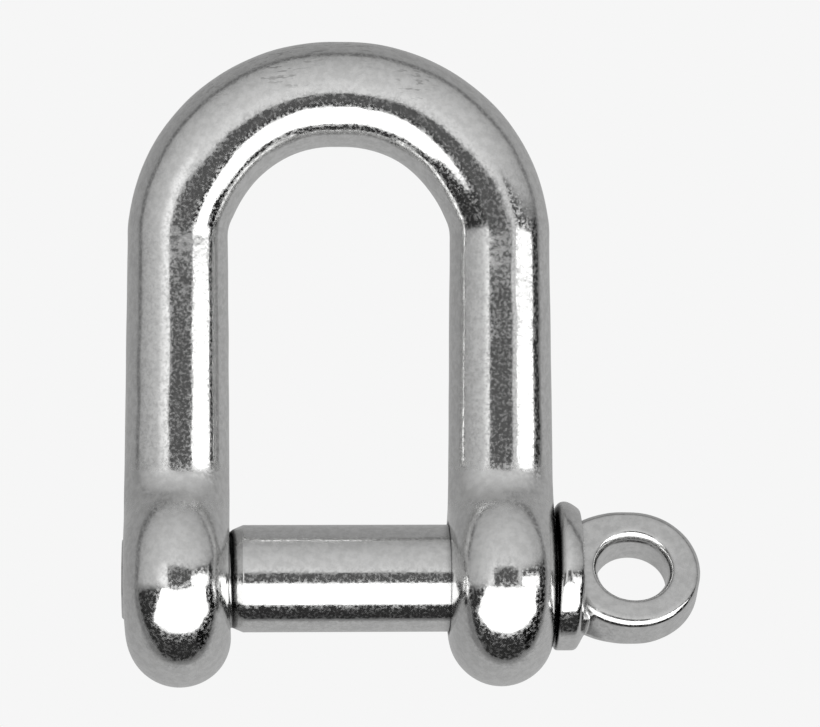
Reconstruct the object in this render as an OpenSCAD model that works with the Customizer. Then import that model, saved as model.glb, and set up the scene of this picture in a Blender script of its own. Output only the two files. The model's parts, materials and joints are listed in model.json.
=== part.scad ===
// Dee shackle: a forged bow with two ears, closed by a screw pin with a collar and a flat eye.
// Millimetres. The origin is on the pin's axis, midway between the ears. +X runs along the pin
// to its eye, +Z towards the crown of the bow.

/* [Bow] */
// Clear width between the ears
inside_w = 20.5; // [19:0.1:22]
// Height of the centres of the bow's two arcs above the pin's axis
bow_height = 30.6; // [26:0.1:36]
// Length of the straight stretch between the two arcs at the crown
crown_flat = 1.1; // [0.8:0.1:1.4]
// Diameter of the bar round the bow
bow_bar_d = 9.8; // [9:0.1:10.4]
// Diameter of a leg beside its ear
leg_d = 9.75; // [9.6:0.05:9.75]
// Diameter of a leg where it meets the bow
leg_top_d = 9.4; // [9:0.1:9.6]
// How far each leg leans in from its ear to where it meets the bow
leg_lean = 0.13; // [0:0.01:0.3]
// Angle that the bow's arc makes with the upright where it comes down onto a leg
kink = 7.65; // [5:0.05:10]

/* [Ears] */
// Outer diameter of an ear
ear_d = 20.2; // [20:0.1:22]
// Thickness of an ear, whose rim is a full half round
ear_t = 9.8; // [9.8:0.1:10]
// Radius of the curve that each leg's bar follows as it opens out into its ear
neck_bend_r = 8; // [6:0.5:12]
// Diameter of the plain hole that the shank passes through
plain_hole_d = 10.2; // [10.1:0.05:10.6]

/* [Screw pin] */
// Diameter of the smooth shank
pin_d = 10; // [9.6:0.1:10]
// Length of the cone at the shank's threaded end
shoulder_len = 1.3; // [0.8:0.1:2]
// Diameter that this cone comes down to
shoulder_d = 8.9; // [8.6:0.1:9.4]
// How far the thread's tip stands out of the threaded ear
tip_proud = 0.15; // [0:0.05:1]
// Diameter of the collar that tightens against the plain ear
collar_d = 14; // [12:0.1:16]
// Width of the collar from its face to the start of the cone
collar_w = 1.9; // [1.5:0.1:2.1]
// Length of the cone from the collar down to the eye
collar_cone = 0.9; // [0.6:0.1:1]
// Diameter of that cone's small end
boss_d = 11.6; // [11.5:0.1:12]

/* [Thread] */
// Pitch of the single-start right-hand thread
pitch = 1.5; // [1.25:0.25:1.5]
// Diameter over the crests of the pin's thread
crest_d = 9.8; // [9.6:0.05:9.9]
// Depth of the thread
thread_depth = 0.8; // [0.6:0.05:0.9]
// Gap between the pin's thread and the ear's, across the radius
thread_gap = 0.12; // [0.1:0.01:0.15]

/* [Eye] */
// Outer diameter of the flat eye
eye_d = 12.3; // [11.6:0.1:13]
// Thickness of the eye
eye_t = 4.2; // [3:0.1:4.2]
// Diameter of the straight part of the eye's hole
eye_hole_d = 6.6; // [6:0.1:7.4]
// Width of the flare at each end of the hole
eye_flare = 0.5; // [0.2:0.05:0.6]
// Depth of that flare
eye_flare_depth = 0.8; // [0.3:0.1:1.2]
// Distance from the middle of the shackle to the centre of the eye
eye_x = 27.45; // [27:0.05:29]
// Angle at which the tightened pin leaves the eye standing
eye_tilt = 35; // [0:5:90]

/* [Hidden] */
$fn = 96;

leg_x = inside_w / 2 + ear_t / 2;                // centre of a leg and of its ear
rim_r = ear_t / 2;                               // radius of the ear's half-round rim
rim_ring_r = ear_d / 2 - rim_r;                  // radius of the ring that the rim's centre follows
bow_r = (leg_x - leg_lean - crown_flat / 2) / cos(kink);  // radius of the bow's two arcs
kink_z = bow_height + bow_r * sin(kink);
leg_tilt = atan(leg_lean / kink_z);
leg_overlap = 1.5;                               // how far a leg runs on inside the bow's bar
neck_z = sqrt(pow(rim_ring_r + neck_bend_r, 2) - pow(neck_bend_r, 2));
neck_turn = atan2(neck_z, neck_bend_r);          // how far the neck's bar turns to meet the ring
edge = 0.5;                                      // width of the small chamfers
past = 1;                                        // how far a cut runs past the face it opens

ear_in = inside_w / 2;
ear_out = ear_in + ear_t;
shank_end = -ear_in - 0.3;                       // the face where shank and thread meet
tip_x = -ear_out - tip_proud;
collar_x = ear_out + 0.05;                       // the collar's face when the pin is tight
collar_round = 0.9;                              // radius of the collar's edge beside the ear
boss_x = collar_x + collar_w + collar_cone;      // the face where shank and eye meet
eye_root_w = 10.8;                               // width of the eye where it leaves the collar

root_r = crest_d / 2 - thread_depth;
flats = 32;                                      // flats round one turn of the thread
helix_x = -ear_out - 2 * pitch;                  // both threads' helices start at this place
turns = ceil((ear_t + 5 * pitch) / pitch);

// Lays what stands on Z along +X instead
module along_x() { rotate([0, 90, 0]) children(); }

// ---- Thread ----

// The thread's outline over one pitch as [distance along the axis, radius]: root, flank, crest
function thread_outline(r) = let (flank = thread_depth * tan(30), crest = pitch / 8)
    [[0, r], [pitch - 2 * flank - crest, r], [pitch - flank - crest, r + thread_depth],
     [pitch - flank, r + thread_depth]];

// The points of the thread's surface above flat i, from the lowest turn to the highest
function thread_column(i, r) = let (a = 360 * i / flats)
    [for (k = [0 : turns - 1], p = thread_outline(r))
        [p[1] * cos(a), p[1] * sin(a), pitch * (k + i / flats) + p[0]]];

rows = 4 * turns;
top_row = rows - 1;
// Index of a column's point; the column after the last is the first, one turn further on
function at(i, row) = i < flats ? i * rows + row : row + 4;

// A right-hand threaded bar along +Z with root radius r, as one closed surface
module thread_bar(r) {
    low = flats * rows;
    high = low + 1;
    sides = [for (i = [0 : flats - 1], j = [0 : i < flats - 1 ? rows - 2 : rows - 6])
        each [[at(i, j), at(i, j + 1), at(i + 1, j + 1)], [at(i, j), at(i + 1, j + 1), at(i + 1, j)]]];
    floor_faces = [for (i = [0 : flats - 1]) [low, at(i, 0), at(i + 1, 0)], [low, 4, 3, 2, 1, 0]];
    roof_faces = [for (i = [0 : flats - 2]) [high, at(i + 1, top_row), at(i, top_row)],
        [high, at(0, top_row), at(flats - 1, top_row - 4)],
        [high, for (j = [top_row - 4 : top_row]) at(flats - 1, j)]];
    polyhedron([for (i = [0 : flats - 1]) each thread_column(i, r), [0, 0, 0], [0, 0, pitch * turns]],
        [each sides, each floor_faces, each roof_faces]);
}

// ---- Shackle body ----

// Half of the bow: half of the straight at the crown, and an arc from there down to the leg
module half_bow() {
    translate([0, 0, bow_height + bow_r]) along_x() cylinder(d = bow_bar_d, h = crown_flat / 2);
    translate([crown_flat / 2, 0, bow_height]) rotate([-90, 0, 0]) rotate([0, 0, -90])
        rotate_extrude(angle = 90 - kink) translate([bow_r, 0]) circle(d = bow_bar_d);
}

// One side of the neck: the leg's bar swinging outwards to meet the ear's ring
module neck_branch() {
    translate([0, neck_bend_r, neck_z]) rotate([90, 0, 90]) rotate([0, 0, 180])
        rotate_extrude(angle = neck_turn) translate([neck_bend_r, 0]) circle(d = leg_d);
}

// An ear before it is drilled: a disc across the pin's axis with a half-round rim
module ear_blank() {
    along_x() rotate_extrude() {
        translate([rim_ring_r, 0]) circle(r = rim_r);
        translate([0, -rim_r]) square([rim_ring_r, ear_t]);
    }
}

module leg_and_ear() {
    translate([leg_x, 0, 0]) {
        rotate([0, -leg_tilt, 0]) cylinder(d1 = leg_d, d2 = leg_top_d, h = kink_z + leg_overlap);
        ear_blank();
        neck_branch();
        mirror([0, 1, 0]) neck_branch();
    }
}

module tapped_hole() {
    translate([helix_x, 0, 0]) along_x() thread_bar(root_r + thread_gap);
}

module plain_hole() {
    translate([ear_in - past, 0, 0]) along_x() cylinder(d = plain_hole_d, h = ear_t + 2 * past);
}

module shackle_body() {
    color("silver") difference() {
        union() {
            for (side = [0, 1]) mirror([side, 0, 0]) {
                half_bow();
                leg_and_ear();
            }
        }
        tapped_hole();
        plain_hole();
    }
}

// ---- Screw pin ----

// Shank and collar: everything on the pin that is the same all the way round its axis
module pin_shank() {
    color("gainsboro") along_x() rotate_extrude() {
        polygon([
            [0, shank_end], [root_r, shank_end], [root_r, -ear_in], [shoulder_d / 2, -ear_in],
            [pin_d / 2, shoulder_len - ear_in], [pin_d / 2, collar_x],
            [collar_d / 2 - collar_round, collar_x], [collar_d / 2 - collar_round, collar_x + collar_round],
            [collar_d / 2, collar_x + collar_round], [collar_d / 2, collar_x + collar_w],
            [boss_d / 2, boss_x], [0, boss_x]
        ]);
        translate([collar_d / 2 - collar_round, collar_x + collar_round]) circle(r = collar_round);
    }
}

module pin_thread() {
    color("silver") intersection() {
        translate([helix_x, 0, 0]) along_x() thread_bar(root_r);
        along_x() rotate_extrude() polygon([
            [0, tip_x], [root_r - edge, tip_x], [crest_d / 2 + edge, tip_x + thread_depth + 2 * edge],
            [crest_d / 2 + edge, shank_end], [0, shank_end]
        ]);
    }
}

// The eye's flat ring, with its edges broken and both ends of its hole flared
module eye_ring() {
    rim = eye_d / 2;
    hole = eye_hole_d / 2;
    half = eye_t / 2;
    rotate_extrude() polygon([
        [hole, eye_flare_depth - half], [hole + eye_flare, -half], [rim - edge, -half],
        [rim, edge - half], [rim, half - edge], [rim - edge, half],
        [hole + eye_flare, half], [hole, half - eye_flare_depth]
    ]);
}

module pin_eye() {
    root_end = eye_x - eye_d / 4;
    color("gainsboro") rotate([90 - eye_tilt, 0, 0]) difference() {
        union() {
            translate([eye_x, 0, 0]) eye_ring();
            translate([0, 0, -eye_t / 2]) linear_extrude(eye_t) polygon([
                [boss_x, -eye_root_w / 2], [root_end, -eye_d / 2 + edge],
                [root_end, eye_d / 2 - edge], [boss_x, eye_root_w / 2]
            ]);
        }
        translate([boss_x - eye_d, -eye_d, -eye_t]) cube([eye_d, 2 * eye_d, 2 * eye_t]);
        translate([eye_x, 0, -eye_t]) cylinder(d = eye_hole_d, h = 2 * eye_t);
    }
}

shackle_body();
pin_shank();
pin_eye();
pin_thread();
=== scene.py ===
"""A polished stainless dee shackle: a forged bow and its screw pin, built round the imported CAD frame.

Shapes are worked out in millimetres, in the row frame, and become metres when their mesh is made. The
origin is on the pin's axis midway between the ears, +X runs along the pin to its eye and +Z towards the
crown of the bow.
"""

import json
import math

import bpy
import numpy as np
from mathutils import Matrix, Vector


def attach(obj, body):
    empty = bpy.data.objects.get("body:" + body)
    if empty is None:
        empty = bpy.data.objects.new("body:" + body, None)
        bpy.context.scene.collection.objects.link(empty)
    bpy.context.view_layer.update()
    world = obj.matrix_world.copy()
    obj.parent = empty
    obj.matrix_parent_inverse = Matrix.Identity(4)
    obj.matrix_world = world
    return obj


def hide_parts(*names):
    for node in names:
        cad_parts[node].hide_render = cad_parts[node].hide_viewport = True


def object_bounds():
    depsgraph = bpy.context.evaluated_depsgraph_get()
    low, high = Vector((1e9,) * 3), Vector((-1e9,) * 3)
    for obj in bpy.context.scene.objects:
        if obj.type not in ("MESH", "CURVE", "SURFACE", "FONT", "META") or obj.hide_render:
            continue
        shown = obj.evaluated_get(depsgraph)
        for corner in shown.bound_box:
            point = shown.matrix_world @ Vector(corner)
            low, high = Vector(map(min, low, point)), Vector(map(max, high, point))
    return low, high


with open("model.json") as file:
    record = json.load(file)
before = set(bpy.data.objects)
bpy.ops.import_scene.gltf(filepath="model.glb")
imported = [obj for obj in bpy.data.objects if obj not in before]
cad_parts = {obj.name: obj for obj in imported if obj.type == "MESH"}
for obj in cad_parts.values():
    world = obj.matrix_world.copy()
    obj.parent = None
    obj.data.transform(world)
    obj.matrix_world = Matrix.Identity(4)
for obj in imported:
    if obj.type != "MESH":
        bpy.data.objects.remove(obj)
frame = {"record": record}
cad_low, cad_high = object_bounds()

MM = 0.001
TURN = 2 * math.pi

# ---- Sizes: the mounts' come from the record, and the others are the CAD model's ----

mounts = {mount["name"]: mount for mount in frame["record"]["mounts"]}
pin_seat, eye_hole = mounts["pin_seat"], mounts["eye_hole"]

INSIDE_W = pin_seat["dims"]["length_mm"]
EAR_T = 9.8
EAR_D = 20.2
EAR_IN = INSIDE_W / 2
EAR_OUT = EAR_IN + EAR_T
LEG_X = INSIDE_W / 2 + EAR_T / 2
LEG_LEAN = 0.13
CROWN_FLAT = 1.1
BOW_H = 30.6
BOW_R = 14.6
KINK_Z = 32.54  # height at which the bow's arc comes down onto the legs
KINK_SOFT = 3.0  # height over which the bar turns from the leg's line to the arc's
NECK_R = 8.0  # radius of the curve by which the leg opens out into the ear
PLAIN_HOLE_R = 5.1
PIN_R = pin_seat["dims"]["r_mm"]
PITCH = 1.5
ROOT_R = 4.1
THREAD_DEPTH = 0.8
THREAD_GAP = 0.12
EYE_X = eye_hole["pos_m"][0] / MM
EYE_R = 6.15
EYE_T = eye_hole["dims"]["length_mm"]
EYE_HOLE_R = eye_hole["dims"]["r_mm"]
EYE_TILT = math.radians(35)
COLLAR_X = 20.10

RIM_R = EAR_T / 2
RING_R = EAR_D / 2 - RIM_R
NECK_Z = math.sqrt((RING_R + NECK_R) ** 2 - NECK_R**2)


# ---- Shaping functions ----


def smooth(t):
    """From 0 to 1 with a level start and end, as t goes from 0 to 1."""
    t = np.clip(t, 0, 1)
    return t * t * (3 - 2 * t)


def mix(a, b, t):
    return a + (b - a) * t


def soft_min(a, b, width):
    """The lesser of a and b, with a fillet where they are within width of each other."""
    near = np.maximum(width - np.abs(a - b), 0) / width
    return np.minimum(a, b) - near * near * width / 4


def soft_max(a, b, width):
    return -soft_min(-a, -b, width)


def round_max(a, b, radius):
    """The space inside both a and b, two faces at right angles, with their edge rounded to that radius."""
    corner = np.hypot(np.maximum(a + radius, 0), np.maximum(b + radius, 0)) - radius
    return corner + np.minimum(np.maximum(a, b) + radius, 0)


def dents(p, size, seed):
    """Gentle unevenness between about -1 and 1, with hollows about size apart, the same each run."""
    rng = np.random.default_rng(seed)
    total = np.zeros(p.shape[:-1])
    waves = 18
    for _ in range(waves):
        direction = rng.normal(size=3)
        direction *= TURN / (size * rng.uniform(0.7, 1.5) * np.linalg.norm(direction))
        total += np.sin(p @ direction + rng.uniform(0, TURN))
    return total / math.sqrt(waves)


# ---- Meshes from distance functions ----


def surface_net(distance, low, high, cell):
    """Points and quads round the space where distance is negative.

    There is one point in each cell of the grid that the surface crosses.
    """
    axes = [np.arange(a, b + cell, cell) for a, b in zip(low, high)]
    grid = np.stack(np.meshgrid(*axes, indexing="ij"), -1)
    inside = distance(grid) < 0
    nx, ny, nz = (count - 1 for count in inside.shape)
    corners_inside = sum(
        inside[i : i + nx, j : j + ny, k : k + nz].astype(int) for i in (0, 1) for j in (0, 1) for k in (0, 1)
    )
    crossed = (corners_inside > 0) & (corners_inside < 8)
    index = np.full(crossed.shape, -1)
    index[crossed] = np.arange(crossed.sum())
    points = grid[:-1, :-1, :-1][crossed] + cell / 2
    quads = []
    for axis in range(3):
        order = (axis, (axis + 1) % 3, (axis + 2) % 3)
        side, cells = inside.transpose(order), index.transpose(order)
        below, above = side[:-1, 1:-1, 1:-1], side[1:, 1:-1, 1:-1]
        ring = [cells[:, :-1, :-1], cells[:, 1:, :-1], cells[:, 1:, 1:], cells[:, :-1, 1:]]
        for chosen, corners in ((below & ~above, ring), (above & ~below, ring[::-1])):
            quads.append(np.stack([c[chosen] for c in corners], -1))
    return points, np.concatenate(quads)


def gradient(distance, points):
    step = 0.01
    return np.stack(
        [(distance(points + d) - distance(points - d)) / (2 * step) for d in np.eye(3) * step],
        -1,
    )


def onto_surface(distance, points):
    """The points moved along the gradient until they lie on the surface, with the surface's normals there."""
    steps = 4
    least_slope = 1e-6  # keeps a point where distance is level from being thrown far off
    for _ in range(steps):
        slope = gradient(distance, points)
        points = points - slope * (distance(points) / np.maximum((slope**2).sum(-1), least_slope))[:, None]
    slope = gradient(distance, points)
    return points, slope / np.linalg.norm(slope, axis=-1, keepdims=True)


def mean_neighbours(points, quads):
    """For each point, the mean of the points that it shares an edge with."""
    ends = np.concatenate([quads[:, [i, (i + 1) % 4]] for i in range(4)])
    a = np.concatenate([ends[:, 0], ends[:, 1]])
    b = np.concatenate([ends[:, 1], ends[:, 0]])
    count = np.bincount(a, minlength=len(points))
    total = np.stack([np.bincount(a, points[b, i], len(points)) for i in range(3)], -1)
    return total / count[:, None]


def skin(distance, low, high, cell):
    """An even quad mesh lying on the surface of distance, of about one quad to each cell."""
    rounds = 4
    share = 0.6  # how much of the way to its neighbours' middle a point slides in each round
    points, quads = surface_net(distance, low, high, cell)
    for _ in range(rounds):
        points, normal = onto_surface(distance, points)
        shift = mean_neighbours(points, quads) - points
        points = points + share * (shift - normal * (shift * normal).sum(-1, keepdims=True))
    points, _ = onto_surface(distance, points)
    return points, quads


def mesh_object(name, points, faces):
    """A new object from points in millimetres."""
    mesh = bpy.data.meshes.new(name)
    mesh.from_pydata((np.asarray(points) * MM).tolist(), [], [list(f) for f in faces])
    mesh.validate()
    made = bpy.data.objects.new(name, mesh)
    bpy.context.scene.collection.objects.link(made)
    return made


def turned(name, stations, radius, columns):
    """A closed bar along X whose section at each station has the radius that radius(x, angle) gives."""
    x, angle = np.meshgrid(stations, np.arange(columns) * TURN / columns, indexing="ij")
    r = radius(x, angle)
    points = np.stack([x, r * np.cos(angle), r * np.sin(angle)], -1).reshape(-1, 3)
    rows = len(stations)
    here = np.arange(columns)
    beside = (here + 1) % columns
    faces = []
    for row in range(rows - 1):
        a, b = row * columns, (row + 1) * columns
        faces += np.stack([a + here, a + beside, b + beside, b + here], -1).tolist()
    faces.append(here[::-1].tolist())
    faces.append(((rows - 1) * columns + here).tolist())
    return mesh_object(name, points, faces)


def combine(target, tool, operation):
    """Joins the tool to the target, or cuts it away, exactly."""
    modifier = target.modifiers.new(operation, "BOOLEAN")
    modifier.operation = operation
    modifier.solver = "EXACT"
    modifier.object = tool
    graph = bpy.context.evaluated_depsgraph_get()
    result = bpy.data.meshes.new_from_object(target.evaluated_get(graph))
    target.modifiers.clear()
    target.data = result
    bpy.data.objects.remove(tool)


def shade(piece):
    """Smooth shading, with the edges of the holes and ends left sharp."""
    sharp_degrees = 32
    piece.data.shade_smooth()
    piece.data.set_sharp_from_angle(angle=math.radians(sharp_degrees))


# ---- Thread ----


def thread_radius(x, angle, root):
    """Radius of a right-hand thread with rounded crests and roots."""
    across = (x / PITCH - angle / TURN) % 1
    rise_start, fall_start, flank = 0.1, 0.55, 0.31  # shares of the pitch
    easing = 0.9  # draws each flank out a little
    rise = smooth((across - rise_start) / flank * easing)
    fall = smooth((across - fall_start) / flank * easing)
    return root + THREAD_DEPTH * (rise - fall)


# ---- Shackle bow ----

THIN_R = 4.66  # radius of the bar where the legs end
CROWN_R = mounts["crown_seat"]["dims"]["r_mm"]  # radius of the bar round the crown
THIN_DEGREES, SWELL_DEGREES = 4, 34  # where on the arc the bar starts to thicken, and over how much of it
LEG_BASE_R, LEG_TAPER = 4.985, 0.0103  # a leg's radius, were it to reach the pin, and its loss in each mm
EAR_LEAN, EAR_LEAN_Z = 0.3, 9  # how far the left ear's lower end leans in, and how far down
COUNTERSINK_R = 5.45  # radius of both holes at the faces of their ears


def core_gap(y, z):
    """Distance from the flat core that a leg and its ear are built round: a line that opens into a disc."""
    in_neck = (z < NECK_Z) & (z * NECK_R > y * NECK_Z)
    neck = NECK_R - np.hypot(y - NECK_R, z - NECK_Z)
    gap = np.where(in_neck, neck, np.hypot(y, z) - RING_R)
    return np.where(z > NECK_Z, y, np.maximum(gap, 0))


def above_kink(z):
    """From 0 on the legs to 1 on the bow's arc."""
    return smooth((z - KINK_Z) / KINK_SOFT + 0.5)


def bar_radius(x, z):
    """The bar is thickest at the ears and thins towards the bow, then fills out again round the crown."""
    leg = np.minimum(RIM_R, LEG_BASE_R - LEG_TAPER * z)
    rise = np.degrees(np.arctan2(z - BOW_H, np.maximum(x - CROWN_FLAT / 2, 0.01)))
    bow = mix(THIN_R, CROWN_R, smooth((rise - THIN_DEGREES) / SWELL_DEGREES))
    return mix(leg, bow, above_kink(z))


def bow_distance(p):
    """How far outside the forging a point lies, without its holes."""
    x, y, z = np.abs(p[..., 0]), np.abs(p[..., 1]), p[..., 2]
    ear_lean = np.where(p[..., 0] < 0, EAR_LEAN, 0) * smooth(-z / EAR_LEAN_Z)
    leg = x - LEG_X + LEG_LEAN * np.maximum(z, 0) / KINK_Z + ear_lean
    from_centre = np.hypot(np.maximum(x - CROWN_FLAT / 2, 0), z - BOW_H)
    across = mix(leg, from_centre - BOW_R, above_kink(z))
    unevenness = 0.012 * dents(p, size=5.0, seed=11)
    return np.hypot(across, core_gap(y, z)) - bar_radius(x, z) - unevenness


def countersunk(x, radius):
    """A hole's radius, opened out at both faces of its ear."""
    outside = -0.5  # depth past which the tool that cuts the hole grows no wider
    depth = np.minimum(np.abs(x) - EAR_IN, EAR_OUT - np.abs(x))
    return np.maximum(radius, COUNTERSINK_R - np.maximum(depth, outside))


def tapped_radius(x, angle):
    return countersunk(x, thread_radius(x, angle, ROOT_R + THREAD_GAP))


def plain_radius(x, _angle):
    shallower = 0.1  # this countersink is narrower than the tapped one
    return np.maximum(PLAIN_HOLE_R, countersunk(x, PLAIN_HOLE_R) - shallower)


def make_bow():
    """The forging with its two holes, of which the left one is tapped."""
    points, quads = skin(bow_distance, low=(-21, -11, -11), high=(21, 11, 51), cell=0.36)
    bow = mesh_object("shackle_bow", points, quads)
    start, stop = EAR_IN - 0.4, EAR_OUT + 0.45  # a little past both faces of the ear
    columns = 96
    coarse = np.arange(start, stop, 0.1)
    combine(bow, turned("plain_hole", coarse, plain_radius, columns), "DIFFERENCE")
    fine = np.arange(start, stop, PITCH / 18)
    combine(bow, turned("tapped_hole", -fine[::-1], tapped_radius, columns), "DIFFERENCE")
    shade(bow)
    return bow


# ---- Screw pin ----

TIP_X = -EAR_OUT - 0.15
TIP_CHAMFER = 0.5
SHOULDER_X = -8.95  # where the full shank starts
SHOULDER_R = 4.45  # what its cone comes down to at the threaded ear
RUN_OUT_X, RUN_OUT_W = -10.9, 1.1  # where the thread starts to run out into the cone, and over what length

# Each pair is for the collar's top and its underside
COLLAR_ROUNDING = (1.5, 0.25)  # radius of its edges
COLLAR_RIM = (7.16, 6.98)  # radius of its rim
FLANK_X = (22.11, 22.0)  # where its sloping flank is as far out as COLLAR_R
COLLAR_R = 7
FLANK_NORMAL = (0.85, 0.53)  # of that flank, along the pin and outwards
COLLAR_LIFT = 0.2  # how far the middle of the collar lies above the pin's axis
COLLAR_END = (23.2, 22.45)  # where it ends against the flat of the eye, and beside it

EYE_PROUD = 0.15  # how much larger the rounded eye is than the CAD's chamfered one
EYE_ROUNDING = 0.8  # radius of its outer edges
ROOT_SPREAD, ROOT_POWER = 0.086, 1.5  # the eye is wider by this times its distance inwards to this power
FLARE_NORMAL = (0.84, 0.545)  # of the flare in the hole's ends, towards its axis and along it
FLARE_DEPTH = (0.8, 0.25)  # at the hole's front end and at its back


def shank_radius(x, angle):
    """Thread, run-out, cone and shank of the pin, from its tip to its collar."""
    thread = thread_radius(x, angle, ROOT_R)
    chamfered = np.minimum(thread, ROOT_R - TIP_CHAMFER + (x - TIP_X))
    cone = mix(SHOULDER_R, PIN_R, (x + EAR_IN) / (SHOULDER_X + EAR_IN))
    bar = np.where(x > SHOULDER_X, PIN_R, cone)
    return mix(chamfered, bar, smooth((x - RUN_OUT_X) / RUN_OUT_W))


def along_eye(p):
    """How far a point lies along the flat of the eye, across the pin, and how far out of the flat."""
    y, z = p[..., 1], p[..., 2]
    across = y * math.sin(EYE_TILT) + z * math.cos(EYE_TILT)
    through = z * math.sin(EYE_TILT) - y * math.cos(EYE_TILT)
    return across, through


def collar_distance(p):
    """The collar: a bead that is well rounded at the top, squarer in front and sharp underneath."""
    x, y, z = p[..., 0], p[..., 1], p[..., 2]
    r = np.hypot(y, z - COLLAR_LIFT)
    low = smooth((4.5 - z) / 9)  # from 0 near the top to 1 near the bottom
    rounding = mix(*COLLAR_ROUNDING, low)
    rim = r - mix(*COLLAR_RIM, low)
    flank = (x - mix(*FLANK_X, low)) * FLANK_NORMAL[0] + (r - COLLAR_R) * FLANK_NORMAL[1]
    sides = np.stack([COLLAR_X - x, rim, flank], -1) + rounding[..., None]
    bead = np.linalg.norm(np.maximum(sides, 0), axis=-1) + np.minimum(sides.max(-1), 0) - rounding
    _, through = along_eye(p)
    beside_flat = smooth((np.abs(through) - 0.5) / 1.5)
    return np.maximum(bead, x - mix(*COLLAR_END, beside_flat))


def eye_distance(p):
    """The flat ring, which widens into the collar: above at its front face, and below at its back."""
    x = p[..., 0] - EYE_X
    across, through = along_eye(p)
    from_axis = np.hypot(x, across)
    root = ROOT_SPREAD * np.maximum(-x, 0) ** ROOT_POWER * (0.5 + np.clip(across, -1, 1) * through / EYE_T)
    faces = np.abs(through) - EYE_T / 2
    body = round_max(from_axis - EYE_R - EYE_PROUD - root, faces, EYE_ROUNDING)
    wall = EYE_HOLE_R - from_axis  # negative outside the hole, in the steel
    flare_depth = np.where(through > 0, *FLARE_DEPTH)
    flare = FLARE_NORMAL[0] * wall + FLARE_NORMAL[1] * (faces + flare_depth)
    hole = soft_max(soft_max(wall, flare, 0.3), faces, 0.25)
    root_end = COLLAR_X + 1 - p[..., 0]  # the eye starts inside the collar
    return np.maximum(np.maximum(body, hole), root_end)


def head_distance(p):
    """The collar and the eye, with a small fillet between them."""
    head = soft_min(collar_distance(p), eye_distance(p), 0.35)
    unevenness = 0.008 * dents(p, size=2.5, seed=5)
    return head - unevenness


def make_pin():
    """The pin in one piece: the head is skinned, and the turned shank and thread are joined to it."""
    points, quads = skin(head_distance, low=(19.5, -8, -8), high=(34.2, 8, 8), cell=0.17)
    pin = mesh_object("screw_pin", points, quads)
    threaded = np.arange(TIP_X, SHOULDER_X, PITCH / 20)
    plain = np.arange(-8.5, COLLAR_X + 0.9, 1.0)  # ends inside the collar
    stations = np.concatenate([threaded, [SHOULDER_X], plain])
    shank = turned("shank", stations, shank_radius, 128)
    combine(pin, shank, "UNION")
    shade(pin)
    return pin


# ---- Materials ----


class Nodes:
    """Adds nodes to a tree and links them."""

    def __init__(self, tree):
        self.tree = tree
        tree.nodes.clear()

    def add(self, kind, inputs=(), **settings):
        node = self.tree.nodes.new(kind)
        for key, value in settings.items():
            setattr(node, key, value)
        for key, value in dict(inputs).items():
            if isinstance(value, bpy.types.NodeSocket):
                self.tree.links.new(value, node.inputs[key])
            else:
                node.inputs[key].default_value = value
        return node

    def math(self, operation, a, b=0.0):
        return self.add("ShaderNodeMath", {0: a, 1: b}, operation=operation).outputs[0]

    def near(self, value, middle):
        """How far value is from middle, either way."""
        return self.math("ABSOLUTE", self.math("SUBTRACT", value, middle))

    def ramp(self, value, low, high, to_low=0.0, to_high=1.0):
        """value's way from low to high, smoothed, as a number from to_low to to_high."""
        node = self.add(
            "ShaderNodeMapRange",
            {0: value, 1: low, 2: high, 3: to_low, 4: to_high},
            interpolation_type="SMOOTHSTEP",
        )
        return node.outputs[0]

    def noise(self, place, size_mm, detail=1.0, roughness=0.5):
        """Noise whose hollows are about size_mm apart."""
        node = self.add(
            "ShaderNodeTexNoise",
            {"Vector": place, "Scale": 1 / (size_mm * MM), "Detail": detail, "Roughness": roughness},
        )
        return node.outputs["Fac"]

    def blend(self, share, a, b):
        """The colour that lies that share of the way from a to b."""
        return self.add("ShaderNodeMix", {0: share, 6: a, 7: b}, data_type="RGBA").outputs[2]


STEEL = (0.74, 0.74, 0.735, 1)
DULL_STEEL = (0.64, 0.64, 0.635, 1)
STAIN = (0.45, 0.45, 0.445, 1)
# painted shade: the colour that crevices and hole edges are darkened towards
CREVICE_SHADE = (0.10, 0.10, 0.10, 1)
POLISH = 0.10  # roughness where the steel is brightest


def long_marks(n, place, height_up):
    """How strongly the dark marks along X show: only near the crown, and there in patches."""
    fourfold = (0.25, 1.0, 1.0)  # draws the noise out to four times its length along X
    stretched = n.add("ShaderNodeMapping", {"Vector": place, "Scale": fourfold}).outputs[0]
    marks = n.ramp(n.noise(stretched, 0.35, detail=2.0, roughness=0.6), 0.35, 0.45, 1.0, 0.0)
    near_crown = n.ramp(height_up, 42.5 * MM, 45.5 * MM)
    patches = n.ramp(n.noise(place, 6.0), 0.40, 0.6)
    return n.math("MULTIPLY", marks, n.math("MULTIPLY", near_crown, patches))


def matt_parts(n, fine, height_up):
    """Roughness of the specks all over and of the zone where the legs open out into the ears."""
    specks = n.ramp(fine, 0.38, 0.68, 0.0, 0.16)
    in_neck = n.ramp(n.near(height_up, 8.8 * MM), 0.8 * MM, 2.6 * MM, 0.22, 0.0)
    return n.math("ADD", n.math("ADD", specks, in_neck), POLISH)


def tint_and_crevice_shade(n, place, marks):
    """Mottled steel, stained in its marks, with painted shade darkening its crevices."""
    mottled = n.ramp(n.noise(place, 0.7, detail=4.0, roughness=0.65), 0.35, 0.65)
    tint = n.blend(marks, n.blend(mottled, DULL_STEEL, STEEL), STAIN)
    # Painted shade: the colour darkens towards near black where ambient occlusion within 1.3 mm finds the
    # steel enclosed
    open_sky = n.add("ShaderNodeAmbientOcclusion", {"Distance": 1.3 * MM}, samples=8).outputs["AO"]
    crevice_shade_share = n.ramp(open_sky, 0.30, 0.82, 1.0, 0.0)
    return n.blend(crevice_shade_share, tint, CREVICE_SHADE)


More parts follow.
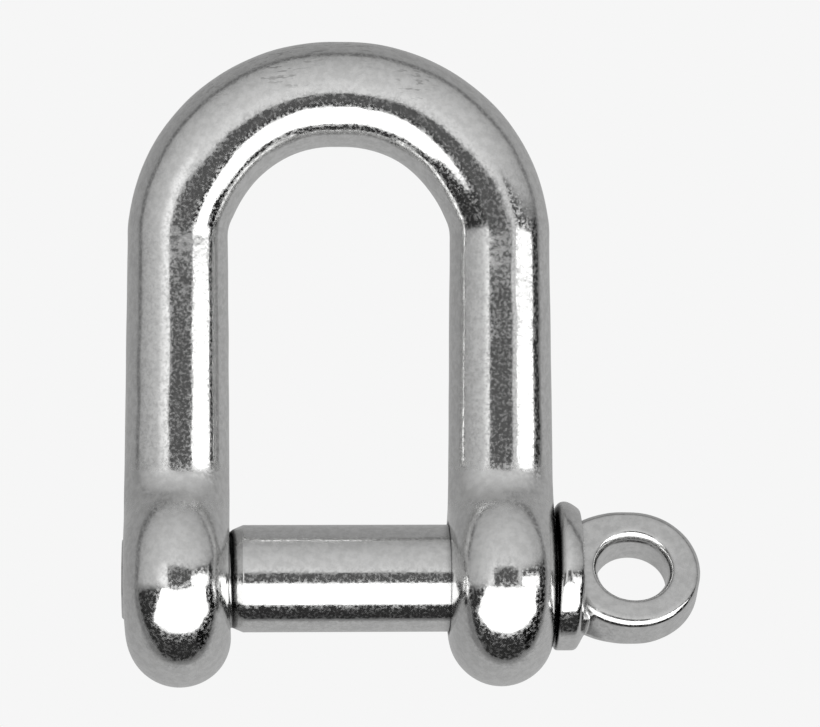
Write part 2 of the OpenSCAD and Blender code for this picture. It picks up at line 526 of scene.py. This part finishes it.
def polished_steel(name, grain, marked):
    """Barrel-polished stainless steel: bright, with an orange-peel skin, matt specks and painted shade in its
    crevices.

    grain is the height of the orange peel in millimetres, and marked how strongly long marks show near the
    crown.
    """
    material = bpy.data.materials.new(name)
    material.use_nodes = True
    n = Nodes(material.node_tree)
    place = n.add("ShaderNodeTexCoord").outputs["Object"]
    height_up = n.add("ShaderNodeSeparateXYZ", {0: place}).outputs[2]
    peel = n.noise(place, 0.9)
    fine = n.noise(place, 0.28)
    marks = n.math("MULTIPLY", long_marks(n, place, height_up), marked)
    unmarked = n.math("ADD", peel, n.math("MULTIPLY", fine, 0.15))
    height = n.math("SUBTRACT", unmarked, n.math("MULTIPLY", marks, 0.6))
    bump = n.add("ShaderNodeBump", {"Height": height, "Strength": 1.0, "Distance": grain * MM})
    shader = n.add(
        "ShaderNodeBsdfPrincipled",
        {
            "Base Color": tint_and_crevice_shade(n, place, marks),
            "Metallic": 1.0,
            "Roughness": matt_parts(n, fine, height_up),
            "Normal": bump.outputs[0],
        },
    )
    n.add("ShaderNodeOutputMaterial", {"Surface": shader.outputs[0]})
    return material


# ---- Stage ----

PALE = 0.922  # the level that shows as 246 of 255


def studio_front(n, x, front, z):
    """The half of the studio in front of the shackle, and its dark corner low on the right, from 0 to 1."""
    upper = n.math("ADD", n.math("MULTIPLY", front, 0.35), 0.45)  # brighter towards the lens
    level_with_lens = n.ramp(n.near(z, 0.0), 0.15, 0.40, 1.0, 0.0)
    left_glow = n.math("MULTIPLY", n.ramp(front, 0.70, 0.88), n.ramp(x, -0.40, -0.20, 0.4, 0.0))
    upper = n.math("ADD", upper, n.math("MULTIPLY", left_glow, level_with_lens))
    round_lens = n.ramp(front, 0.85, 0.97, 0.0, 0.10)
    upper = n.math("ADD", upper, round_lens)
    lit = n.ramp(z, -0.16, -0.02, 0.06, 1.0)  # dark in directions below the level
    right_corner = n.math("MULTIPLY", n.ramp(x, 0.48, 0.60), n.ramp(z, 0.10, 0.30, 1.0, 0.0))
    shaded = n.ramp(right_corner, 0.0, 1.0, 1.0, 0.06)
    return n.math("MULTIPLY", n.math("MULTIPLY", upper, lit), shaded), right_corner


def studio_level(n, direction):
    """Brightness of the studio in each direction, given in the row frame's axes."""
    x, y, z = n.add("ShaderNodeSeparateXYZ", {0: direction}).outputs
    in_front, right_corner = studio_front(n, x, n.math("MULTIPLY", y, -1.0), z)
    slant = n.math("ADD", n.math("MULTIPLY", x, 0.053), n.math("MULTIPLY", z, -0.078))
    behind = n.math("ADD", slant, 0.445)  # a little brighter to the right and below
    # The front ends at y = 0, and a little further back in its dark corner and straight below
    underneath = n.ramp(z, -0.95, -0.80, 0.08, 0.0)
    edge = n.math("SUBTRACT", n.math("SUBTRACT", y, n.math("MULTIPLY", right_corner, 0.10)), underneath)
    both = n.add(
        "ShaderNodeMix", {0: n.ramp(edge, -0.03, 0.0), 2: in_front, 3: behind}, data_type="FLOAT"
    ).outputs[0]
    dark_line = n.ramp(n.near(y, 0.10), 0.04, 0.14, 0.50, 1.0)
    return n.math("MULTIPLY", both, dark_line)


def make_world():
    """A studio seen only in reflections, and a plain pale background.

    Behind the shackle it is mid grey, with a darker line where the front begins. In front it is pale above
    and dark below, with a glow left of the lens and a dark corner on the right.
    """
    world = bpy.data.worlds.new("studio")
    bpy.context.scene.world = world
    world.use_nodes = True
    n = Nodes(world.node_tree)
    studio = studio_level(n, n.add("ShaderNodeTexCoord").outputs["Generated"])
    seen = n.add("ShaderNodeLightPath").outputs["Is Camera Ray"]
    level = n.add("ShaderNodeMix", {0: seen, 2: studio, 3: PALE}, data_type="FLOAT").outputs[0]
    background = n.add("ShaderNodeBackground", {"Color": (1, 1, 1, 1), "Strength": level})
    n.add("ShaderNodeOutputWorld", {"Surface": background.outputs[0]})


def glow_plane(name, corners_mm, level):
    """A flat stage piece of that brightness, which casts no shadow and lights nothing that is dull."""
    mesh = bpy.data.meshes.new(name)
    mesh.from_pydata([[c * MM for c in corner] for corner in corners_mm], [], [(0, 1, 2, 3)])
    plane = bpy.data.objects.new(name, mesh)
    bpy.context.scene.collection.objects.link(plane)
    material = bpy.data.materials.new(name)
    material.use_nodes = True
    n = Nodes(material.node_tree)
    glow = n.add("ShaderNodeEmission", {"Color": (1, 1, 1, 1), "Strength": level})
    n.add("ShaderNodeOutputMaterial", {"Surface": glow.outputs[0]})
    mesh.materials.append(material)
    plane.visible_diffuse = False
    plane.visible_shadow = False
    return plane


def make_lens_flag():
    """The dark camera and its stand, which only the steel's reflections show."""
    left, right, foot, top, ahead = -62, 80, -17, 41, -150
    level = 0.11
    corners = [(left, ahead, foot), (right, ahead, foot), (right, ahead, top), (left, ahead, top)]
    flag = glow_plane("lens_flag", corners, level)
    flag.visible_camera = False


def towards(azimuth, elevation):
    """The direction that is so many degrees to the right of the front and above the level."""
    a, e = math.radians(azimuth), math.radians(elevation)
    return Vector((math.sin(a) * math.cos(e), -math.cos(a) * math.cos(e), math.sin(e)))


def softbox(name, shape, centre_mm, facing, size_mm):
    """A white lamp of that width and height, which the lens doesn't see."""
    radiance = 2.2
    light = bpy.data.lights.new(name, "AREA")
    light.shape = shape
    light.size, light.size_y = size_mm[0] * MM, size_mm[1] * MM
    light.energy = radiance * light.size * light.size_y * math.pi
    lamp = bpy.data.objects.new(name, light)
    bpy.context.scene.collection.objects.link(lamp)
    lamp.location = Vector(centre_mm) * MM
    lamp.rotation_mode = "QUATERNION"
    lamp.rotation_quaternion = Vector(facing).to_track_quat("-Z", "Y")
    lamp.visible_camera = False


def make_floor():
    """A plain pale floor under the ears, which the steel doesn't reflect."""
    half = 3000
    gap = 0.2
    z = cad_low.z / MM - gap
    corners = [(-half, -half, z), (half, -half, z), (half, half, z), (-half, half, z)]
    floor = glow_plane("floor", corners, PALE)
    floor.visible_glossy = False


def make_camera():
    """Level with the middle of the shackle, and a little to its left."""
    back = towards(-2.96, -0.1)
    distance = 0.3573  # in metres, as is the point that the lens looks at
    middle = Vector((0.006641, 0, 0.020071))
    camera = bpy.data.objects.new("camera", bpy.data.cameras.new("camera"))
    bpy.context.scene.collection.objects.link(camera)
    camera.location = middle + back * distance
    camera.rotation_mode = "QUATERNION"
    camera.rotation_quaternion = (-back).to_track_quat("-Z", "Y")
    camera.data.sensor_width = 36
    seen_width = 76.6642  # how many millimetres the picture takes in from side to side at that distance
    camera.data.lens = camera.data.sensor_width * distance / (seen_width * MM)
    camera.data.clip_start, camera.data.clip_end = 0.01, 50
    bpy.context.scene.camera = camera


# ---- Scene ----

bow = make_bow()
bow.data.materials.append(polished_steel("bow_steel", grain=0.011, marked=1.0))
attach(bow, "bow")
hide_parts("shackle_body")

pin = make_pin()
pin.data.materials.append(polished_steel("pin_steel", grain=0.008, marked=0.0))
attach(pin, "pin_ends")
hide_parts("pin_shank", "pin_eye", "pin_thread")

make_world()
make_lens_flag()
softbox("low_softbox", "RECTANGLE", centre_mm=(27, -65, -29), facing=(0, 0.49, 0.87), size_mm=(186, 69))
far = 1500
for name, shape, side, size in (
    ("right_softbox", "RECTANGLE", towards(55, 0), (1150, 240)),
    ("right_softbox_tip", "ELLIPSE", towards(54, -12), (690, 620)),
):
    softbox(name, shape, side * far, -side, size)
make_floor()
make_camera()
bpy.context.scene.view_settings.view_transform = "Standard"
